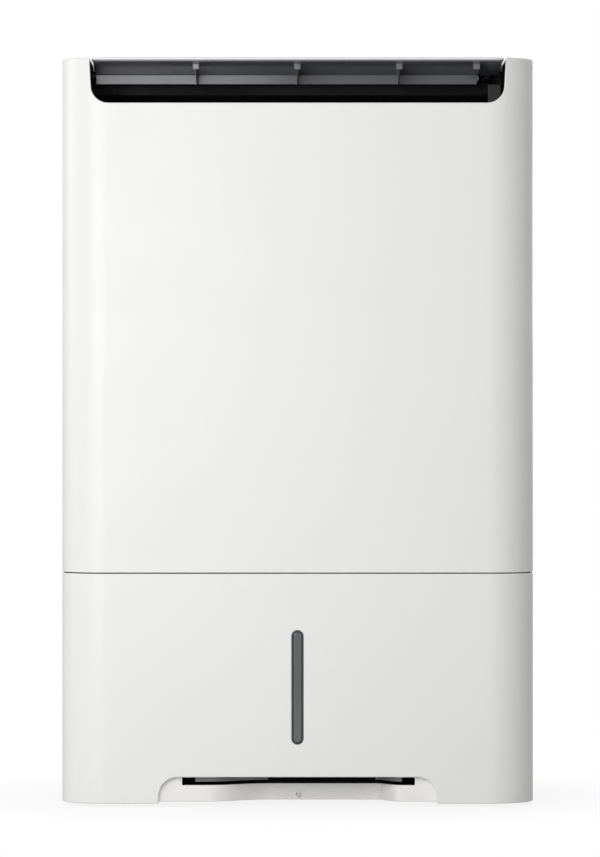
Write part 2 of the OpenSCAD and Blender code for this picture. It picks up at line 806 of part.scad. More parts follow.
// ---- rear, drain, handle, buttons ----
module intake_grille() color("#d6d6d4") {
    along_y(118, hd) difference() {
        round2(-grille_half, grille_z0, grille_half, grille_z1, 7);
        for (z = [grille_z0 + 14 : 12 : grille_z1 - 20], s = [-2 : 1])
            box2(s * 70 + 3, z, s * 70 + 67, z + 7);
    }
    for (s = [-1, 1]) disc_x(121.3, 239.3, 1.6, s > 0 ? grille_half - 2 : -150.6,
        s > 0 ? 150.6 : 2 - grille_half);
}

module filter_frame() color("#4b4e52") {
    union() {
        along_y(112.5, 117) difference() {
            box2(-144, 246, 144, 582);
            for (x = [-139, -45.5, 48], z = [251, 363, 475]) box2(x, z, x + 91, z + 102);
        }
        along_y(114.2, 114.8) box2(-140, 250, 140, 578);
        for (x = [-100, 100], z = [248.5, 579.5]) box3([x - 4, 116.5, z - 2], [x + 4, 118, z + 2]);
    }
}

module drain_cap() color("#3d4043") {
    difference() {
        union() {
            disc_y(drain_x, drain_z, 9.5, 104, 123);
            disc_y(drain_x, drain_z, 12, 118, 121);
        }
        disc_y(drain_x, drain_z, 7.08, 100, 120.2);
    }
}

module carry_handle() color("#d6d6d4") {
    union() {
        for (s = [-1, 1]) {
            along_x(s * 62 - 4, s * 62 + 4) union() {
                translate([handle_y, handle_z]) circle(5);
                box2(handle_y, handle_z - 5, handle_y + 32, handle_z + 5);
            }
            disc_x(handle_y, handle_z, 3, s > 0 ? 60 : -72, s > 0 ? 72 : -60);
        }
        along_x(-66, 66) union() {
            box2(handle_y + 20, handle_z - 5, handle_y + 32, handle_z + 5);
        }
    }
}

module button_at(x) color("#2c2e31")
    translate([x, button_y, 0]) union() {
        translate([0, 0, top_z - 5]) cylinder(r = 7, h = 4.8);
        translate([0, 0, top_z - 4.2]) cylinder(r = 8.5, h = 0.7);
        translate([0, 0, top_z - 7.4]) cylinder(r = 2.5, h = 3);
    }

module button_power() button_at(button_x[0]);
module button_fan() button_at(button_x[1]);
module button_humidity() button_at(button_x[2]);
module button_timer() button_at(button_x[3]);

base_pan();
rubber_feet();
front_shell();
rear_shell();
top_cover();
outlet_duct();
outlet_guard();
control_panel();
display_board();
flap_motor();
flap_brackets();
mid_deck();
bay_wall();
drip_tray();
drain_spout();
drain_spigot();
drain_hose();
compressor();
compressor_grommets();
compressor_bolts();
terminal_cover();
accumulator();
evaporator_fins();
evaporator_tubes();
condenser_fins();
condenser_tubes();
compressor_pipes();
capillary_tube();
fan_scroll();
fan_partition();
fan_motor();
motor_mount();
control_box();
main_board();
run_capacitor();
cord_gland();
shell_screws();
tank_sensor();
fan_wheel();
fan_shaft();
fan_nut();
flap_skin();
flap_liner();
tank_bucket();
tank_fascia();
tank_window();
tank_lid();
grip_scoop();
grip_pocket();
tank_handle();
tank_float();
float_magnet();
intake_grille();
filter_frame();
drain_cap();
carry_handle();
button_power();
button_fan();
button_humidity();
button_timer();
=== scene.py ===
"""Looks of a compressor dehumidifier: cabinet, air outlet, water tank, back grille, top panel and stage."""

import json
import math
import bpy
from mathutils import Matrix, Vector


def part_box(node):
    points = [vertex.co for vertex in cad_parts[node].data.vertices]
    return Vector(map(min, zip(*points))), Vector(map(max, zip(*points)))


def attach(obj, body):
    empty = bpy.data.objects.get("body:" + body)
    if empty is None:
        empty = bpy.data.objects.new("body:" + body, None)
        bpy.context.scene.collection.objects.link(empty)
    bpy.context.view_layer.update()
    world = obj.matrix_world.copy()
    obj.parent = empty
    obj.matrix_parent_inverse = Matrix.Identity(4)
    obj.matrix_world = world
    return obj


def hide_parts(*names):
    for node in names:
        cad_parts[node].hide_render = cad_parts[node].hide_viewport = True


bl_info = {
    "name": "Dehumidifier looks",
    "version": (1, 0, 0),
    "blender": (4, 5, 0),
    "location": "View3D > Sidebar > Dehumidifier",
    "description": "Builds the finished pieces, finishes and stage of a dehumidifier",
    "category": "Object",
}

import bmesh
import bpy
from bpy.props import FloatProperty, FloatVectorProperty, IntProperty, PointerProperty
from mathutils import Matrix, Vector

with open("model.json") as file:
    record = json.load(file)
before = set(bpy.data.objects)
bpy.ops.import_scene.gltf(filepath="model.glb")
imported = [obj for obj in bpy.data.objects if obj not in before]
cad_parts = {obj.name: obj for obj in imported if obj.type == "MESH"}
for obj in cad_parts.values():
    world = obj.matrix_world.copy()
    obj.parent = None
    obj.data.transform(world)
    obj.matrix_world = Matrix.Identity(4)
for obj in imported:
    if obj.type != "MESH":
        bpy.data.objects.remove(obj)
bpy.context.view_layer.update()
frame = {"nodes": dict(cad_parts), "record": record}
NODES = frame["nodes"]
MM = 0.001


# ---- colours, nodes and finishes ----


def linear(hex_colour):
    """Turns an sRGB hex colour into linear red, green and blue."""
    levels = [int(hex_colour[i : i + 2], 16) / 255 for i in (1, 3, 5)]
    return [c / 12.92 if c <= 0.04045 else ((c + 0.055) / 1.055) ** 2.4 for c in levels]


def rgba(colour):
    """Gives a colour its alpha."""
    return (*(linear(colour) if isinstance(colour, str) else colour), 1.0)


def add(tree, kind, settings=None, inputs=None):
    """Adds a node, sets its properties, and fills its inputs from values or other nodes' sockets."""
    node = tree.nodes.new(kind)
    for key, value in (settings or {}).items():
        setattr(node, key, value)
    for key, value in (inputs or {}).items():
        if isinstance(value, bpy.types.NodeSocket):
            tree.links.new(value, node.inputs[key])
        else:
            node.inputs[key].default_value = value
    return node


def per(size_mm):
    """Texture scale, per metre, of a feature of that size."""
    return 1000 / size_mm


def blank(name):
    """Starts a material: its empty tree and the object coordinates that its patterns read."""
    tree = bpy.data.materials.new(name)
    tree.use_nodes = True
    tree.node_tree.nodes.clear()
    return tree, tree.node_tree, add(tree.node_tree, "ShaderNodeTexCoord").outputs["Object"]


def moulded(name, colour, shade, gloss, grain_mm, depth_mm, drift_mm=130, **sockets):
    """Injection moulded plastic: a tone that drifts slowly, gloss that varies, and an eroded mould grain."""
    material, tree, place = blank(name)
    drift = add(tree, "ShaderNodeTexNoise", None, {"Vector": place, "Scale": per(drift_mm)})
    tone = add(
        tree, "ShaderNodeMix", {"data_type": "RGBA"},
        {0: drift.outputs[0], 6: rgba(colour), 7: rgba(shade)},
    )
    patch = add(
        tree, "ShaderNodeTexNoise", None, {"Vector": place, "Scale": per(45), "Detail": 3.0}
    )
    sheen = add(
        tree, "ShaderNodeMapRange", None,
        {0: patch.outputs[0], 1: 0.35, 2: 0.65, 3: gloss[0], 4: gloss[1]},
    )
    grain = add(tree, "ShaderNodeTexNoise", None, {"Vector": place, "Scale": per(grain_mm)})
    bump = add(
        tree, "ShaderNodeBump", None, {"Distance": depth_mm * MM, "Height": grain.outputs[0]}
    )
    shader = add(
        tree, "ShaderNodeBsdfPrincipled", None,
        {
            "Base Color": tone.outputs[2], "Roughness": sheen.outputs[0],
            "Normal": bump.outputs[0], "IOR": 1.53, **sockets,
        },
    )
    add(tree, "ShaderNodeOutputMaterial", None, {"Surface": shader.outputs[0]})
    return material


def metal(name, colour, shade, gloss, grain, depth_mm, tone_mm=18, **sockets):
    """A metal with a streaked or cloudy surface; grain gives the feature size along each axis in mm."""
    material, tree, place = blank(name)
    cloud = add(
        tree, "ShaderNodeTexNoise", None,
        {"Vector": place, "Scale": per(tone_mm), "Detail": 4.0, "Roughness": 0.6},
    )
    tone = add(
        tree, "ShaderNodeMix", {"data_type": "RGBA"},
        {0: cloud.outputs[0], 6: rgba(colour), 7: rgba(shade)},
    )
    stretched = add(
        tree, "ShaderNodeMapping", None, {"Vector": place, "Scale": [per(g) for g in grain]}
    )
    streak = add(
        tree, "ShaderNodeTexNoise", None,
        {"Vector": stretched.outputs[0], "Scale": 1.0, "Detail": 3.0},
    )
    sheen = add(
        tree, "ShaderNodeMapRange", None,
        {0: streak.outputs[0], 1: 0.3, 2: 0.7, 3: gloss[0], 4: gloss[1]},
    )
    bump = add(
        tree, "ShaderNodeBump", None, {"Distance": depth_mm * MM, "Height": streak.outputs[0]}
    )
    shader = add(
        tree, "ShaderNodeBsdfPrincipled", None,
        {
            "Base Color": tone.outputs[2], "Roughness": sheen.outputs[0],
            "Normal": bump.outputs[0], "Metallic": 1.0, **sockets,
        },
    )
    add(tree, "ShaderNodeOutputMaterial", None, {"Surface": shader.outputs[0]})
    return material


def circuit_board():
    """Solder-masked epoxy glass: green lacquer with slightly raised copper tracks under it."""
    material, tree, place = blank("epoxy_glass_board")
    cells = add(
        tree, "ShaderNodeTexVoronoi", {"distance": "CHEBYCHEV"}, {"Vector": place, "Scale": per(6)}
    )
    track = add(
        tree, "ShaderNodeMapRange", None, {0: cells.outputs["Distance"], 1: 0.30, 2: 0.34}
    )
    tone = add(
        tree, "ShaderNodeMix", {"data_type": "RGBA"},
        {0: track.outputs[0], 6: rgba("#1F6A3C"), 7: rgba("#174F2E")},
    )
    bump = add(
        tree, "ShaderNodeBump", None,
        {"Strength": 0.6, "Distance": 0.05 * MM, "Height": track.outputs[0]},
    )
    shader = add(
        tree, "ShaderNodeBsdfPrincipled", None,
        {"Base Color": tone.outputs[2], "Normal": bump.outputs[0], "IOR": 1.55, "Roughness": 0.32},
    )
    add(tree, "ShaderNodeOutputMaterial", None, {"Surface": shader.outputs[0]})
    return material


def finishes(colours):
    """Every finish of the object, by the name of the record's slot or of its use."""
    return {
        # ABS shell, injection moulded: a clean white with a satin, very fine eroded grain.
        # The real grain is about 0.15 mm and is drawn at 0.9 mm, the finest that shows.
        "shell": moulded(
            "abs_satin_white", colours.shell, colours.shell_shade, (0.34, 0.42), 0.9, 0.012
        ),
        # The same ABS in the finger recess, painted a lighter, warmer white than the shell: painted light in
        # the shaded recess. Duller from a coarser mould.
        "scoop": moulded("abs_recess_painted_light", "#F6F5F2", "#F0EFEB", (0.46, 0.54), 0.9, 0.015),
        # Ribs of the same white ABS behind the finger slot, painted mid grey: painted shade under the tank
        # front's edge.
        "rib": moulded("abs_rib_painted_shade", "#7D7F80", "#717374", (0.45, 0.55), 0.9, 0.02),
        # Polished ABS of the flap's underside: mirror-like, with slow moulding waves. Its grey is partly the
        # plastic's own dark grey and partly painted reflection, lightened to stand for the studio front
        # mirrored in it.
        "dark_gloss": moulded(
            "abs_polished_painted_reflection", colours.gloss, "#696A72", (0.09, 0.16), 26.0, 0.05,
            drift_mm=60,
        ),
        # Matt ABS of the duct: it swallows light, so the outlet reads black.
        "black_plastic": moulded(
            "abs_matt_black", "#09090B", "#0D0D0F", (0.52, 0.64), 0.8, 0.03,
            **{"Specular IOR Level": 0.18},
        ),
        # ABS case and shaft of the flap's gear motor, and the plate beside the right bracket: dark grey,
        # satin. On the motor the dark grey, in place of its slot's steel, keeps the outlet's left end dark:
        # painted shade.
        "duct_grey": moulded("abs_dark_grey_and_painted_shade", "#2B2C2F", "#27282B", (0.4, 0.5), 0.8, 0.03),
        # Polypropylene of pans, walls and frames: dark grey with a waxy sheen.
        "dark_plastic": moulded("pp_dark_grey", "#3A3C3F", "#333538", (0.42, 0.55), 1.2, 0.03),
        # ABS of the motor housings: plain mid grey, satin.
        "grey_plastic": moulded("abs_mid_grey", "#A9ABAA", "#9FA1A1", (0.4, 0.5), 1.0, 0.03),
        # Unpigmented polypropylene: milky white and soft to the light.
        "white_plastic": moulded(
            "pp_natural_white", "#E2E3E0", "#D8D9D5", (0.38, 0.5), 1.4, 0.02,
            **{"Subsurface Weight": 0.1, "Subsurface Scale": 0.004},
        ),
        # Translucent polypropylene of the tank: light passes and blurs.
        "translucent": moulded(
            "pp_translucent", "#C3C8CB", "#B9BFC3", (0.3, 0.42), 2.0, 0.03,
            **{"Transmission Weight": 0.45},
        ),
        # Smoked polycarbonate of the level window: dark, polished and slightly clear.
        "window": moulded(
            "polycarbonate_smoked", colours.window, "#65676A", (0.1, 0.18), 30.0, 0.02,
            drift_mm=40, **{"Transmission Weight": 0.2, "Coat Weight": 0.3},
        ),
        # Ring round the window: dark grey, moulded, matt, a painted shadow along the edge of the window's
        # recess.
        "rim_shadow": moulded("painted_shadow_ring_grey", "#38393B", "#333436", (0.55, 0.65), 0.8, 0.02),
        # Cast acrylic of the top panel: deep black with a mirror gloss.
        "panel": moulded(
            "acrylic_black", "#0B0B0D", "#0E0E10", (0.04, 0.09), 60.0, 0.01,
            **{"Coat Weight": 1.0, "Coat Roughness": 0.03},
        ),
        # Display windows in that panel: smoked acrylic, a shade lighter.
        "display": moulded("acrylic_smoked", "#23262B", "#1E2125", (0.1, 0.16), 40.0, 0.01),
        # Milky light guides of the indicator lamps.
        "lamp": moulded("pc_light_guide", "#B9C4C6", "#AEB9BB", (0.3, 0.4), 0.8, 0.01),
        # ABS of the keys: charcoal with a fine matt grain.
        "buttons": moulded("abs_key_grey", "#34373B", "#2E3135", (0.32, 0.42), 0.7, 0.02),
        # Moulded natural rubber: matt charcoal with a dusty bloom.
        "rubber": moulded("rubber_moulded", "#222324", "#2B2C2D", (0.68, 0.82), 1.0, 0.05),
        # Baked enamel on drawn steel: black and glossy, with orange peel 2.5 mm wide.
        "black_paint": moulded(
            "enamel_black", "#101112", "#151617", (0.22, 0.34), 2.5, 0.05,
            **{"Coat Weight": 0.5, "Coat Roughness": 0.15},
        ),
        # Zinc plated steel: pale, slightly blue, with fine drawn streaks.
        "steel": metal(
            "steel_zinc_plated", "#C4C7CA", "#ACB0B5", (0.28, 0.42), (0.4, 6.0, 0.4), 0.01
        ),
        # Drawn copper tube: salmon with brown oxide clouds and lengthwise die lines.
        "copper": metal(
            "copper_drawn", "#C9805C", "#93533A", (0.24, 0.42), (9.0, 0.5, 0.5), 0.01
        ),
        # Turned brass: yellow with fine tool marks.
        "brass": metal(
            "brass_turned", "#CFAE6A", "#B5934F", (0.22, 0.36), (0.4, 0.4, 0.4), 0.01
        ),
        # Rolled aluminium foil of the fins: bright and matt, with a faint rolling streak.
        "fins": metal(
            "aluminium_foil", "#D2D5D8", "#BFC3C7", (0.3, 0.46), (0.5, 0.5, 8.0), 0.01
        ),
        "board": circuit_board(),
    }


# ---- mesh helpers ----


def as_object(name, mesh, material):
    """Links a mesh as an object at the origin, with one material."""
    mesh.materials.clear()
    mesh.materials.append(material)
    obj = bpy.data.objects.new(name, mesh)
    bpy.context.scene.collection.objects.link(obj)
    return obj


def plain(obj):
    """Applies an object's modifiers, so that it is one plain mesh."""
    bpy.context.view_layer.update()
    graph = bpy.context.evaluated_depsgraph_get()
    mesh = bpy.data.meshes.new_from_object(
        obj.evaluated_get(graph), preserve_all_data_layers=True, depsgraph=graph
    )
    obj.modifiers.clear()
    obj.data = mesh
    mesh.name = obj.name
    return obj


def settle(obj, body, slot, *replaced):
    """Declares a finished piece: the body it rides on, its slot, and the CAD nodes it stands for."""
    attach(obj, body)
    if replaced:
        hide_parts(*replaced)
    return obj


def merged(node):
    """A copy of a CAD node's mesh with its loose triangles joined into flat faces."""
    bm = bmesh.new()
    bm.from_mesh(NODES[node].data)
    bmesh.ops.remove_doubles(bm, verts=bm.verts, dist=2e-6)
    bmesh.ops.dissolve_limit(
        bm, angle_limit=math.radians(0.3), verts=bm.verts, edges=bm.edges
    )
    for face in bm.faces:
        face.smooth = True
    return bm


def as_mesh(name, bm):
    """Writes a bmesh to a new mesh."""
    mesh = bpy.data.meshes.new(name)
    bm.to_mesh(mesh)
    bm.free()
    return mesh


def rounded(obj, width_mm, segments=3, angle=32):
    """Rounds an object's sharp edges, as a mould does."""
    bevel = obj.modifiers.new("edges", "BEVEL")
    bevel.width = width_mm * MM
    bevel.segments = segments
    bevel.limit_method = "ANGLE"
    bevel.angle_limit = math.radians(angle)
    bevel.use_clamp_overlap = False
    bevel.loop_slide = False
    flat = obj.modifiers.new("normals", "WEIGHTED_NORMAL")
    flat.weight = 100
    flat.keep_sharp = True
    return plain(obj)


def softened(node, name, material, width_mm, segments=3):
    """A CAD node's own shape with its sharp edges rounded."""
    return rounded(as_object(name, as_mesh(name, merged(node)), material), width_mm, segments)


def block(bm, low, high):
    """Adds a closed box between two corners given in mm."""
    size = [(b - a) * MM for a, b in zip(low, high)]
    centre = [(a + b) / 2 * MM for a, b in zip(low, high)]
    bmesh.ops.create_cube(
        bm, size=1.0, matrix=Matrix.Translation(centre) @ Matrix.Diagonal((*size, 1.0))
    )


def prism(bm, points, vector):
    """Adds a closed prism: a flat outline, given in mm, swept along a vector in mm."""
    base = [bm.verts.new(Vector(p) * MM) for p in points]
    top = [bm.verts.new((Vector(p) + Vector(vector)) * MM) for p in points]
    count = len(points)
    faces = [bm.faces.new(base), bm.faces.new(list(reversed(top)))]
    for i in range(count):
        j = (i + 1) % count
        faces.append(bm.faces.new((base[j], base[i], top[i], top[j])))
    bmesh.ops.recalc_face_normals(bm, faces=faces)
    return faces


def ring_outline(centre, radius, count, plane="xz"):
    """Points of a circle in mm, in one of the two planes used here."""
    points = []
    for i in range(count):
        a = math.tau * i / count
        u, v = radius * math.cos(a), radius * math.sin(a)
        points.append(
            (centre[0] + u, centre[1], centre[2] + v)
            if plane == "xz"
            else (centre[0] + u, centre[1] + v, centre[2])
        )
    return points


def round_rect(x0, z0, x1, z1, radius, steps=6):
    """Corner points of a rectangle with round corners, counter-clockwise."""
    points = []
    for cx, cz, turn in (
        (x1 - radius, z1 - radius, 0),
        (x0 + radius, z1 - radius, 90),
        (x0 + radius, z0 + radius, 180),
        (x1 - radius, z0 + radius, 270),
    ):
        for i in range(steps + 1):
            a = math.radians(turn + 90 * i / steps)
            points.append((cx + radius * math.cos(a), cz + radius * math.sin(a)))
    return points


# ---- repeated pieces ----


def tree_with(name, sockets):
    """A geometry node group with the given named inputs, and its input and output nodes."""
    tree = bpy.data.node_groups.new(name, "GeometryNodeTree")
    for label, kind, default in sockets:
        socket = tree.interface.new_socket(label, in_out="INPUT", socket_type="NodeSocket" + kind)
        if default is not None:
            socket.default_value = default
    tree.interface.new_socket("Geometry", in_out="OUTPUT", socket_type="NodeSocketGeometry")
    return tree, add(tree, "NodeGroupInput").outputs


def close_tree(tree, instances, material):
    """Ends a group in Realize Instances and Set Material."""
    solid = add(tree, "GeometryNodeRealizeInstances", None, {"Geometry": instances})
    painted = add(
        tree, "GeometryNodeSetMaterial", None, {"Geometry": solid.outputs[0], "Material": material}
    )
    add(tree, "NodeGroupOutput", None, {0: painted.outputs[0]})
    return tree


def grid_tree():
    """Repeats one element in even rows and columns."""
    tree, given = tree_with(
        "repeat_in_grid",
        [
            ("Element", "Geometry", None),
            ("Count Across", "Int", 2),
            ("Step Across", "Vector", (0.01, 0, 0)),
            ("Count Up", "Int", 1),
            ("Step Up", "Vector", (0, 0, 0.01)),
            ("Material", "Material", None),
        ],
    )
    across = add(
        tree, "GeometryNodeMeshLine", {"mode": "OFFSET"},
        {"Count": given["Count Across"], "Offset": given["Step Across"]},
    )
    up = add(
        tree, "GeometryNodeMeshLine", {"mode": "OFFSET"},
        {"Count": given["Count Up"], "Offset": given["Step Up"]},
    )
    row = add(
        tree, "GeometryNodeInstanceOnPoints", None,
        {"Points": across.outputs[0], "Instance": given["Element"]},
    )
    rows = add(
        tree, "GeometryNodeInstanceOnPoints", None,
        {"Points": up.outputs[0], "Instance": row.outputs[0]},
    )
    return close_tree(tree, rows.outputs[0], given["Material"])


def ring_tree():
    """Repeats one element round a centre, turned a little more each time."""
    tree, given = tree_with(
        "repeat_in_ring",
        [
            ("Element", "Geometry", None),
            ("Count", "Int", 12),
            ("Centre", "Vector", (0, 0, 0)),
            ("Turn", "Vector", (0, 0, 0.5)),
            ("Material", "Material", None),
        ],
    )
    back = add(
        tree, "ShaderNodeVectorMath", {"operation": "SCALE"}, {0: given["Centre"], "Scale": -1.0}
    )
    centred = add(
        tree, "GeometryNodeTransform", None,
        {"Geometry": given["Element"], "Translation": back.outputs[0]},
    )
    places = add(
        tree, "GeometryNodeMeshLine", {"mode": "OFFSET"},
        {"Count": given["Count"], "Start Location": given["Centre"], "Offset": (0, 0, 0)},
    )
    turned = add(
        tree, "ShaderNodeVectorMath", {"operation": "SCALE"},
        {0: given["Turn"], "Scale": add(tree, "GeometryNodeInputIndex").outputs[0]},
    )
    ring = add(
        tree, "GeometryNodeInstanceOnPoints", None,
        {"Points": places.outputs[0], "Instance": centred.outputs[0], "Rotation": turned.outputs[0]},
    )
    return close_tree(tree, ring.outputs[0], given["Material"])


def repeated(name, bm, tree, material, **values):
    """Runs a repeating group on one element and returns the result as a plain mesh object."""
    obj = as_object(name, as_mesh(name, bm), material)
    modifier = obj.modifiers.new("repeat", "NODES")
    modifier.node_group = tree
    given = {**{k.replace("_", " "): v for k, v in values.items()}, "Material": material}
    for item in tree.interface.items_tree:
        if item.in_out == "INPUT" and item.name in given:
            modifier[item.identifier] = given[item.name]
    return plain(obj)


def joined(name, *objects):
    """Joins plain mesh objects into the first one."""
    bm = bmesh.new()
    for obj in objects:
        bm.from_mesh(obj.data)
    material = objects[0].data.materials[0]
    for obj in objects:
        bpy.data.objects.remove(obj)
    return as_object(name, as_mesh(name, bm), material)


# ---- settings ----


class DehumidifierColours(bpy.types.PropertyGroup):
    """Colours that a user would change."""

    shell: FloatVectorProperty(
        name="Shell", description="Colour of the cabinet", subtype="COLOR", default=linear("#ECECEB")
    )
    shell_shade: FloatVectorProperty(
        name="Shell shade", description="The tone the cabinet's colour drifts to",
        subtype="COLOR", default=linear("#E9E9E7"),
    )
    # The flap underside's grey is partly painted reflection: lighter than the plastic's own dark grey.
    gloss: FloatVectorProperty(
        name="Flap underside", description="Colour of the polished flap underside",
        subtype="COLOR", default=linear("#74757C"),
    )
    window: FloatVectorProperty(
        name="Window", description="Colour of the smoked level window",
        subtype="COLOR", default=linear("#6E7073"),
    )


class DehumidifierSizes(bpy.types.PropertyGroup):
    """Sizes of the fine detail."""

    edge: FloatProperty(
        name="Shell edge", description="Radius of the shells' moulded edges",
        default=0.8 * MM, min=0.1 * MM, max=2 * MM, unit="LENGTH",
    )
    slat_pitch: FloatProperty(
        name="Slat pitch", description="Distance between the intake slats",
        default=8.4 * MM, min=5 * MM, max=20 * MM, unit="LENGTH",
    )
    slat_tilt: FloatProperty(
        name="Slat tilt", description="Tilt of the intake slats",
        default=math.radians(28), subtype="ANGLE",
    )
    fin_pitch: FloatProperty(
        name="Fin pitch", description="Distance between the coil fins",
        default=1.6 * MM, min=1.2 * MM, max=4 * MM, unit="LENGTH",
    )
    mesh_pitch: FloatProperty(
        name="Filter mesh pitch", description="Distance between the filter's threads",
        default=2.4 * MM, min=1 * MM, max=6 * MM, unit="LENGTH",
    )
    cap_ribs: IntProperty(
        name="Cap ribs", description="Grip ribs round the drain cap", default=24, min=8, max=60
    )


def sizes():
    """The scene's settings for the fine detail."""
    return bpy.context.scene.dehumidifier_sizes


FINISH = {}
TREES = {}


# ---- pieces ----


def paint_carried_nodes():
    """Gives every CAD node the finish of its slot."""
    slot_of = {s["node"]: s["material_slot"] for s in frame["record"]["subparts"]}
    for node, obj in NODES.items():
        material = FINISH[slot_of[node]]
        if obj.material_slots:
            for place in obj.material_slots:
                place.material = material
        else:
            obj.data.materials.append(material)


def cabinet():
    """The two shells and the top cover, the pan and the feet."""
    edge = sizes().edge / MM
    for node in ("front_shell", "rear_shell", "top_cover"):
        settle(
            softened(node, node + "_skin", FINISH["shell"], edge), "cabinet", "shell", node
        )
    settle(softened("rubber_feet", "feet", FINISH["rubber"], 0.8), "cabinet", "rubber", "rubber_feet")
    pan = softened("base_pan", "pan", FINISH["dark_plastic"], 0.5, 2)
    settle(pan, "cabinet", "dark_plastic", "base_pan")


# Middle of the small eye at the right end of the flap's rear wall, in mm, and its two radii.
EYE_AT = (150.2, -55.4, 610.4)
EYE_RADII = (2.9, 1.4)
# Corners of the grey plate beside the right bracket, in mm.
BRACKET_PLATE = ((161.2, -43.5, 587), (172.5, -40.5, 606.5))


def outlet():
    """The duct, the flap's drive and brackets with the plate beside them, and the flap with its eye."""
    for node, name in (("outlet_duct", "duct"), ("flap_brackets", "brackets")):
        settle(softened(node, name, FINISH["black_plastic"], 0.5), "cabinet", "black_plastic", node)
    # The gear motor takes dark grey, not its slot's steel, so the outlet's left end stays dark: painted
    # shade.
    drive = softened("flap_motor", "flap_drive", FINISH["duct_grey"], 0.4)
    settle(drive, "cabinet", "steel", "flap_motor")
    bm = bmesh.new()
    block(bm, *BRACKET_PLATE)
    plate = rounded(as_object("bracket_plate", as_mesh("bracket_plate", bm), FINISH["duct_grey"]), 0.8)
    settle(plate, "cabinet", "black_plastic", "flap_brackets")
    bm = bmesh.new()
    eye, hole = (
        [(x, z) for x, _, z in ring_outline((EYE_AT[0], 0, EYE_AT[2]), radius, 24)]
        for radius in EYE_RADII
    )
    frame_ring(bm, eye, hole, EYE_AT[1] - 1.2, EYE_AT[1] + 2.0)
    eye = as_object("flap_eye", as_mesh("flap_eye", bm), FINISH["dark_gloss"])
    settle(eye, "flap", "dark_gloss", "flap_liner")
    settle(softened("flap_skin", "flap_top", FINISH["shell"], 0.8), "flap", "shell", "flap_skin")
    liner = softened("flap_liner", "flap_underside", FINISH["dark_gloss"], 0.4)
    settle(liner, "flap", "dark_gloss", "flap_liner")


# Ends, in mm along x, of the finger slot and of the ribs behind it.
SLOT_ENDS = (-96, 97.5)
RIB_ENDS = ((-85.2, -24.8), (65.2, 86.8))


def recess_depth(x):
    """How far back, in mm, the finger recess lies at x: a flat middle, soft ramps and hollow ends."""
    steps = ((x + 75) / 50, (85 - x) / 20)
    ease = min(min(1.0, max(0.0, t)) ** 2 * (3 - 2 * min(1.0, max(0.0, t))) for t in steps)
    ends = max(0.0, (abs(x) - 101) / 16)
    return -119 + 22 * ease - 2.4 * min(1.0, ends) ** 2


def recess():
    """The finger recess: a thin curved wall with a long slot, the pocket behind it and its ribs."""
    half, slot = 137, SLOT_ENDS
    ramps = [-75 + 50 * i / 12 for i in range(13)] + [65 + 20 * i / 10 for i in range(11)]
    ends = [s * (101 + 2 * i) for s in (-1, 1) for i in range(9)]
    xs = sorted({-half, half, *slot, *ramps, *ends, -60, -40, -12, 0, 20, 40, 60})
    zs = (4.4, 11, 18, 24.4, 25.5)
    bm = bmesh.new()
    grid = [[bm.verts.new((x * MM, recess_depth(x) * MM, z * MM)) for z in zs] for x in xs]
    for i in range(len(xs) - 1):
        for k in range(len(zs) - 1):
            if zs[k] >= 18 and zs[k] < 24.4 and slot[0] <= xs[i] < slot[1]:
                continue
            bm.faces.new((grid[i][k], grid[i + 1][k], grid[i + 1][k + 1], grid[i][k + 1]))
    for face in bm.faces:
        face.smooth = True
    # The recess wall and its gate mark take the recess's painted light: a lighter, warmer white than the
    # shell's same ABS.
    wall = as_object("recess_wall", as_mesh("recess_wall", bm), FINISH["scoop"])
    thick = wall.modifiers.new("wall", "SOLIDIFY")
    thick.thickness = 2.5 * MM
    thick.offset = -1.0
    thick.use_even_offset = True
    wall = rounded(plain(wall), 0.5, 3, 50)
    bm = bmesh.new()
    rim = round_rect(-2.6, 7.2, 1.6, 11.4, 2.09, 5)
    core = round_rect(-1.8, 8.0, 0.8, 10.6, 1.29, 5)
    frame_ring(bm, rim, core, -100.4, -96.2)
    mark = as_object("gate_mark", as_mesh("gate_mark", bm), FINISH["scoop"])
    settle(joined("recess_face", wall, mark), "tank", "shell", "grip_scoop")

    bm = bmesh.new()
    for x0, x1 in RIB_ENDS:
        steps = [x0 + (x1 - x0) * i / 10 for i in range(11)]
        line = [(x, recess_depth(x) + 2.9, 20.8) for x in steps]
        line += [(x, recess_depth(x) + 5.4, 20.8) for x in reversed(steps)]
        prism(bm, line, (0, 0, 4.2))
    # The ribs' mid grey is painted shade on the same white ABS.
    ribs = as_object("recess_ribs", as_mesh("recess_ribs", bm), FINISH["rib"])
    settle(ribs, "tank", "shell", "grip_scoop")
    pocket = softened("grip_pocket", "recess_pocket", FINISH["black_plastic"], 0.5)
    settle(pocket, "tank", "black_plastic", "grip_pocket")


def level_window():
    """The smoked window with its soft seal, both with round ends."""
    low, high = (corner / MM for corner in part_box("tank_window"))
    mid, half, tall = (low.z + high.z) / 2, 4.85, 47.35
    bm = bmesh.new()
    outer = round_rect(-half, mid - tall, half, mid + tall, half - 0.01, 10)
    inner = round_rect(-half + 1.1, mid - tall + 1.1, half - 1.1, mid + tall - 1.1, half - 1.11, 10)
    frame_ring(bm, outer, inner, low.y + 0.1, low.y + 1.5)
    # The dark ring is a painted shadow along the edge of the window's recess.
    rim_shadow = rounded(as_object("window_rim_shadow", as_mesh("window_rim_shadow", bm), FINISH["rim_shadow"]), 0.2, 2)
    settle(rim_shadow, "tank", "window", "tank_window")
    bm = bmesh.new()
    plate = round_rect(-3.7, mid - 46.2, 3.7, mid + 46.2, 3.69, 10)
    prism(bm, [(x, low.y + 0.35, z) for x, z in plate], (0, 2.0, 0))
    for face in bm.faces:
        face.smooth = True
    pane = rounded(as_object("window_pane", as_mesh("window_pane", bm), FINISH["window"]), 1.1, 5)
    settle(pane, "tank", "window", "tank_window")


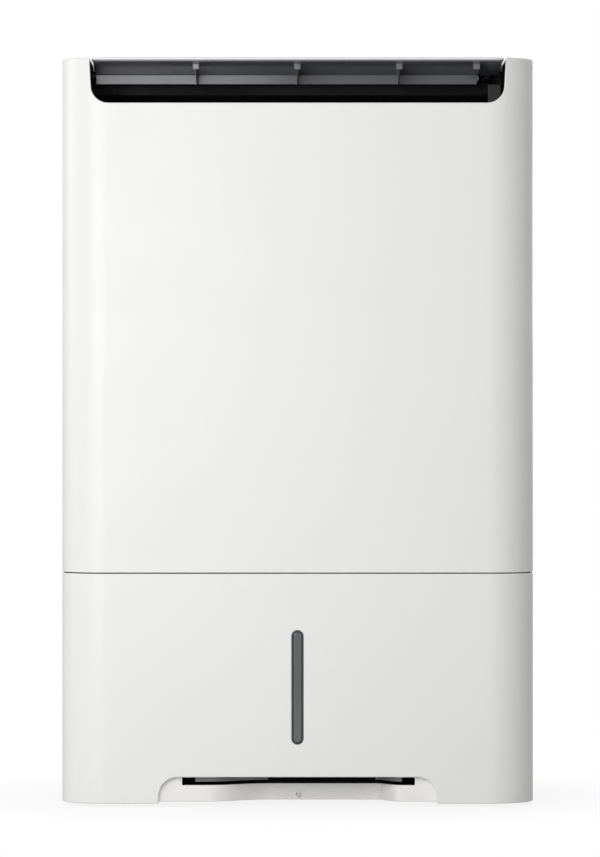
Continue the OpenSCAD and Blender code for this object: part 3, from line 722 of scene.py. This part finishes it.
def tank():
    """Everything that slides out with the tank, and the bail and float that hinge on it."""
    settle(
        softened("tank_fascia", "tank_front", FINISH["shell"], sizes().edge / MM),
        "tank", "shell", "tank_fascia",
    )
    level_window()
    recess()
    settle(
        softened("tank_bucket", "bucket", FINISH["translucent"], 0.8),
        "tank", "translucent", "tank_bucket",
    )
    settle(softened("tank_lid", "lid", FINISH["white_plastic"], 0.5), "tank", "white_plastic", "tank_lid")
    settle(
        softened("tank_handle", "bail", FINISH["dark_plastic"], 0.8),
        "tank_bail", "dark_plastic", "tank_handle",
    )
    settle(
        softened("tank_float", "float_body", FINISH["white_plastic"], 1.2),
        "float", "white_plastic", "tank_float",
    )


def intake():
    """Grille with tilted slats, and the filter behind it."""
    low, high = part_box("intake_grille")
    x1, z0, z1 = 149.0, low.z / MM, high.z / MM
    inner = (z0 + 12, z1 - 12)
    bm = bmesh.new()
    outer = round_rect(-x1, z0, x1, z1, 7)
    hole = round_rect(-x1 + 9, inner[0], x1 - 9, inner[1], 4)
    frame_ring(bm, outer, hole, 118.0, 124.5)
    rim = rounded(as_object("rim", as_mesh("rim", bm), FINISH["shell"]), 0.7)
    pitch = sizes().slat_pitch / MM
    count = int((inner[1] - inner[0] - 4) / pitch)
    start = (inner[0] + inner[1]) / 2 - pitch * (count - 1) / 2
    tilt = sizes().slat_tilt
    bm = bmesh.new()
    section = []
    for u, v in ((-3.4, -0.7), (3.0, -0.9), (3.4, -0.5), (3.4, 0.5), (3.0, 0.9), (-3.4, 0.7)):
        section.append(
            (
                -x1 + 8,
                121.2 + u * math.cos(tilt) + v * math.sin(tilt),
                start - u * math.sin(tilt) + v * math.cos(tilt),
            )
        )
    prism(bm, section, (2 * x1 - 16, 0, 0))
    slats = repeated(
        "slats", bm, TREES["grid"], FINISH["shell"],
        Count_Across=1, Count_Up=count, Step_Up=(0, 0, pitch * MM),
    )
    bm = bmesh.new()
    block(bm, (-71.5, 118.4, inner[0] - 1), (-68.5, 121.4, inner[1] + 1))
    ribs = repeated(
        "ribs", bm, TREES["grid"], FINISH["shell"],
        Count_Across=3, Step_Across=(70 * MM, 0, 0), Count_Up=1,
    )
    bm = bmesh.new()
    for side in (-1, 1):
        section = [(side * 147, y, z) for y, z in round_rect(119.7, 237.7, 122.9, 240.9, 1.59, 4)]
        prism(bm, section, (side * 3.6, 0, 0))
    pins = as_object("pins", as_mesh("pins", bm), FINISH["shell"])
    settle(joined("intake_cover_grille", rim, slats, ribs, pins), "intake_cover", "shell", "intake_grille")

    bm = bmesh.new()
    for x in (-144, -48, 45, 139):
        block(bm, (x, 112.5, 246), (x + 5, 117, 582))
    for z in (246, 354, 466, 577):
        block(bm, (-144, 112.5, z), (144, 117, z + 5))
    for x in (-100, 100):
        for z in (246.5, 577.5):
            block(bm, (x - 4, 116.5, z), (x + 4, 118, z + 4))
    bars = rounded(as_object("bars", as_mesh("bars", bm), FINISH["dark_plastic"]), 0.5)
    mesh_step = sizes().mesh_pitch
    upright, level = bmesh.new(), bmesh.new()
    block(upright, (-140.0, 114.3, 248), (-139.4, 114.8, 580))
    block(level, (-142, 114.1, 250.0), (142, 114.6, 250.6))
    threads = [
        repeated("upright", upright, TREES["grid"], FINISH["dark_plastic"],
                 Count_Across=int(0.280 / mesh_step), Step_Across=(mesh_step, 0, 0), Count_Up=1),
        repeated("level", level, TREES["grid"], FINISH["dark_plastic"],
                 Count_Across=1, Count_Up=int(0.328 / mesh_step), Step_Up=(0, 0, mesh_step)),
    ]
    settle(joined("filter", bars, *threads), "intake_cover", "dark_plastic", "filter_frame")


def frame_ring(bm, outer, hole, y0, y1):
    """A closed flat frame: two outlines with the same number of points, with a hole between them."""
    count = len(outer)
    levels = []
    for points, y in ((outer, y0), (outer, y1), (hole, y1), (hole, y0)):
        levels.append([bm.verts.new((x * MM, y * MM, z * MM)) for x, z in points])
    faces = []
    for k in range(4):
        a, b = levels[k], levels[(k + 1) % 4]
        for i in range(count):
            j = (i + 1) % count
            faces.append(bm.faces.new((a[i], a[j], b[j], b[i])))
    bmesh.ops.recalc_face_normals(bm, faces=faces)


def coils():
    """Foil fins of both coils, in even rows."""
    pitch = sizes().fin_pitch
    for node, name in (("evaporator_fins", "evaporator_foil"), ("condenser_fins", "condenser_foil")):
        low, high = (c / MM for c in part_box(node))
        bm = bmesh.new()
        block(bm, (low.x, low.y, low.z), (low.x + 0.45, high.y, high.z))
        foil = repeated(
            name, bm, TREES["grid"], FINISH["fins"],
            Count_Across=int((high.x - low.x) * MM / pitch) + 1, Step_Across=(pitch, 0, 0), Count_Up=1,
        )
        settle(foil, "cabinet", "fins", node)


def fittings():
    """Drain cap with grip ribs, rear screws, and the smaller fittings."""
    centre = Vector((125, 0, 216)) * MM
    count = sizes().cap_ribs
    bm = bmesh.new()
    block(bm, (124.4, 118.6, 227.4), (125.6, 122.2, 228.0))
    ribs = repeated(
        "cap_ribs", bm, TREES["ring"], FINISH["dark_plastic"],
        Count=count, Centre=tuple(centre), Turn=(0, math.tau / count, 0),
    )
    body = softened("drain_cap", "cap_body", FINISH["dark_plastic"], 0.5)
    settle(joined("cap", body, ribs), "cap", "dark_plastic", "drain_cap")
    settle(softened("shell_screws", "screws", FINISH["steel"], 0.25, 2), "cabinet", "steel", "shell_screws")
    gland = softened("cord_gland", "gland", FINISH["black_plastic"], 0.5)
    settle(gland, "cabinet", "black_plastic", "cord_gland")


def top_panel():
    """Black panel with display windows and lamps, four keys with a raised dot, and the carry handle."""
    low, high = (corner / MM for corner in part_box("control_panel"))
    settle(
        softened("control_panel", "panel", FINISH["panel"], 0.4),
        "cabinet", "panel", "control_panel",
    )
    bm = bmesh.new()
    shape = round_rect(-50, -15, -22, -1, 2.5, 5)
    prism(bm, [(x, y, high.z - 0.1) for x, y in shape], (0, 0, 0.3))
    displays = repeated(
        "displays", bm, TREES["grid"], FINISH["display"],
        Count_Across=3, Step_Across=(36 * MM, 0, 0), Count_Up=1,
    )
    settle(displays, "cabinet", "panel", "control_panel")
    bm = bmesh.new()
    lens = ring_outline((-35, 6, 0), 1.1, 16, "xy")
    prism(bm, [(x, y, high.z - 0.1) for x, y, _ in lens], (0, 0, 0.35))
    lamps = repeated(
        "lamps", bm, TREES["grid"], FINISH["lamp"],
        Count_Across=8, Step_Across=(10 * MM, 0, 0), Count_Up=1,
    )
    settle(lamps, "cabinet", "panel", "control_panel")
    for key in ("power", "fan", "humidity", "timer"):
        node = "button_" + key
        low, high = (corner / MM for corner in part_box(node))
        middle = (low + high) / 2
        cap = softened(node, "key_cap", FINISH["buttons"], 0.5)
        bm = bmesh.new()
        dot = ring_outline((middle.x, middle.y, 0), 0.9, 20, "xy")
        prism(bm, [(x, y, high.z - 0.2) for x, y, _ in dot], (0, 0, 0.45))
        dot = as_object("dot", as_mesh("dot", bm), FINISH["buttons"])
        settle(joined("key_" + key, cap, dot), "key_" + key, "buttons", node)
    settle(
        softened("carry_handle", "top_bail", FINISH["shell"], 1.6, 4),
        "top_handle", "shell", "carry_handle",
    )


# ---- stage ----

# Metres from the camera to the front face, and the height of the frame there.
CAMERA_DISTANCE = 4.0
FRAME_HEIGHT = 0.7117
# Square soft lights: name, place and side in metres, and power in watts. Each aims at AIM.
LIGHTS = (
    ("key", (-0.52, -1.34, 0.6), 1.0, 11.3),
    ("left_wall", (-1.94, 0.29, 0.86), 1.0, 6.5),
    ("right_rim", (1.24, -0.18, 0.62), 0.6, 0.3),
    ("back_fill", (0.5, 2.3, 0.95), 1.0, 9.0),
)
AIM = (0, 0, 0.32)


def stage():
    """Pale floor, soft light from the upper left front, and the camera."""
    scene = bpy.context.scene
    scene.view_settings.view_transform = "Standard"
    bpy.ops.mesh.primitive_circle_add(vertices=96, radius=30, fill_type="NGON")
    floor = bpy.context.active_object
    floor.name = "floor"
    material, tree, place = blank("floor_paper")
    shader = add(
        tree, "ShaderNodeBsdfPrincipled", None, {"Roughness": 0.9, "Base Color": rgba("#DADAD9")}
    )
    reach = add(tree, "ShaderNodeVectorMath", {"operation": "LENGTH"}, {0: place}).outputs["Value"]
    fade = add(
        tree, "ShaderNodeMapRange", {"interpolation_type": "SMOOTHSTEP"},
        {0: reach, 1: 0.2, 2: 0.34, 3: 0.88, 4: 1.0},
    ).outputs[0]
    seen = add(tree, "ShaderNodeLightPath").outputs["Is Camera Ray"]
    fade = add(tree, "ShaderNodeMath", {"operation": "MULTIPLY"}, {0: fade, 1: seen}).outputs[0]
    glow = add(tree, "ShaderNodeEmission", None, {"Color": (1, 1, 1, 1), "Strength": 1.0})
    mixed = add(
        tree, "ShaderNodeMixShader", None,
        {0: fade, 1: shader.outputs[0], 2: glow.outputs[0]},
    )
    add(tree, "ShaderNodeOutputMaterial", None, {"Surface": mixed.outputs[0]})
    floor.data.materials.append(material)

    world = bpy.data.worlds.new("studio")
    scene.world = world
    world.use_nodes = True
    world.node_tree.nodes.clear()
    path = add(world.node_tree, "ShaderNodeLightPath")
    direct = add(
        world.node_tree, "ShaderNodeMath", {"operation": "MAXIMUM"},
        {0: path.outputs["Is Camera Ray"], 1: path.outputs["Is Glossy Ray"]},
    )
    strength = add(
        world.node_tree, "ShaderNodeMapRange", None,
        {0: direct.outputs[0], 1: 0.0, 2: 1.0, 3: 0.4, 4: 1.0},
    )
    sky = add(
        world.node_tree, "ShaderNodeBackground", None,
        {"Color": (1, 1, 1, 1), "Strength": strength.outputs[0]},
    )
    add(world.node_tree, "ShaderNodeOutputWorld", None, {"Surface": sky.outputs[0]})

    for name, place_at, size, energy in LIGHTS:
        data = bpy.data.lights.new(name, "AREA")
        data.shape, data.size, data.energy = "SQUARE", size, energy
        light = bpy.data.objects.new(name, data)
        light.location = place_at
        light.rotation_euler = (Vector(AIM) - Vector(place_at)).to_track_quat("-Z", "Y").to_euler()
        light.visible_camera = False
        scene.collection.objects.link(light)

    lens = bpy.data.cameras.new("camera")
    lens.sensor_fit = "AUTO"
    lens.sensor_width = 36.0
    lens.lens = 36.0 * CAMERA_DISTANCE / FRAME_HEIGHT
    lens.clip_end = 100
    camera = bpy.data.objects.new("camera", lens)
    camera.location = (0.002, -0.1245 - CAMERA_DISTANCE, 0.3146)
    camera.rotation_euler = (math.radians(90), 0, 0)
    scene.collection.objects.link(camera)
    scene.camera = camera


# ---- operators and panel ----


def operator(key, label, text, work):
    """One operator class that runs one builder."""

    def execute(self, context):
        work()
        return {"FINISHED"}

    return type(
        "DEHUMIDIFIER_OT_" + key,
        (bpy.types.Operator,),
        {"bl_idname": "dehumidifier." + key, "bl_label": label, "__doc__": text, "execute": execute},
    )


def prepare():
    """Makes the finishes and the repeating trees, and paints the carried-over nodes."""
    FINISH.update(finishes(bpy.context.scene.dehumidifier_colours))
    TREES.update(grid=grid_tree(), ring=ring_tree())
    paint_carried_nodes()


OPERATORS = [
    operator("finishes", "Finishes", "Makes the finishes and paints the carried-over nodes", prepare),
    operator("cabinet", "Cabinet", "Builds the shells, cover, pan and feet", cabinet),
    operator("outlet", "Air outlet", "Builds the duct, brackets and flap", outlet),
    operator("tank", "Water tank", "Builds the tank front, window, bucket, lid, scoop and bail", tank),
    operator("intake", "Intake", "Builds the back grille and its filter", intake),
    operator("coils", "Coils", "Builds the foil fins of both coils", coils),
    operator("fittings", "Fittings", "Builds the drain cap, screws and gland", fittings),
    operator("top_panel", "Top panel", "Builds the panel, its buttons and the carry handle", top_panel),
    operator("stage", "Stage", "Builds the floor, lights and camera", stage),
]


class DEHUMIDIFIER_PT_panel(bpy.types.Panel):
    """Lists the builders and the settings."""

    bl_label = "Dehumidifier"
    bl_space_type = "VIEW_3D"
    bl_region_type = "UI"
    bl_category = "Dehumidifier"

    def draw(self, context):
        for group in (context.scene.dehumidifier_colours, context.scene.dehumidifier_sizes):
            for name in group.bl_rna.properties.keys():
                if name not in ("rna_type", "name"):
                    self.layout.prop(group, name)
        for kind in OPERATORS:
            self.layout.operator(kind.bl_idname)


CLASSES = [DehumidifierColours, DehumidifierSizes, *OPERATORS, DEHUMIDIFIER_PT_panel]


def register():
    """Adds the classes and the two groups of settings."""
    for kind in CLASSES:
        bpy.utils.register_class(kind)
    bpy.types.Scene.dehumidifier_colours = PointerProperty(type=DehumidifierColours)
    bpy.types.Scene.dehumidifier_sizes = PointerProperty(type=DehumidifierSizes)


def unregister():
    """Takes away what register added."""
    del bpy.types.Scene.dehumidifier_sizes
    del bpy.types.Scene.dehumidifier_colours
    for kind in reversed(CLASSES):
        bpy.utils.unregister_class(kind)


def main():
    """Builds every piece in order and writes the two boxes."""
    register()
    for kind in OPERATORS:
        getattr(bpy.ops.dehumidifier, kind.bl_idname.split(".")[1])()


if __name__ == "__main__":
    main()
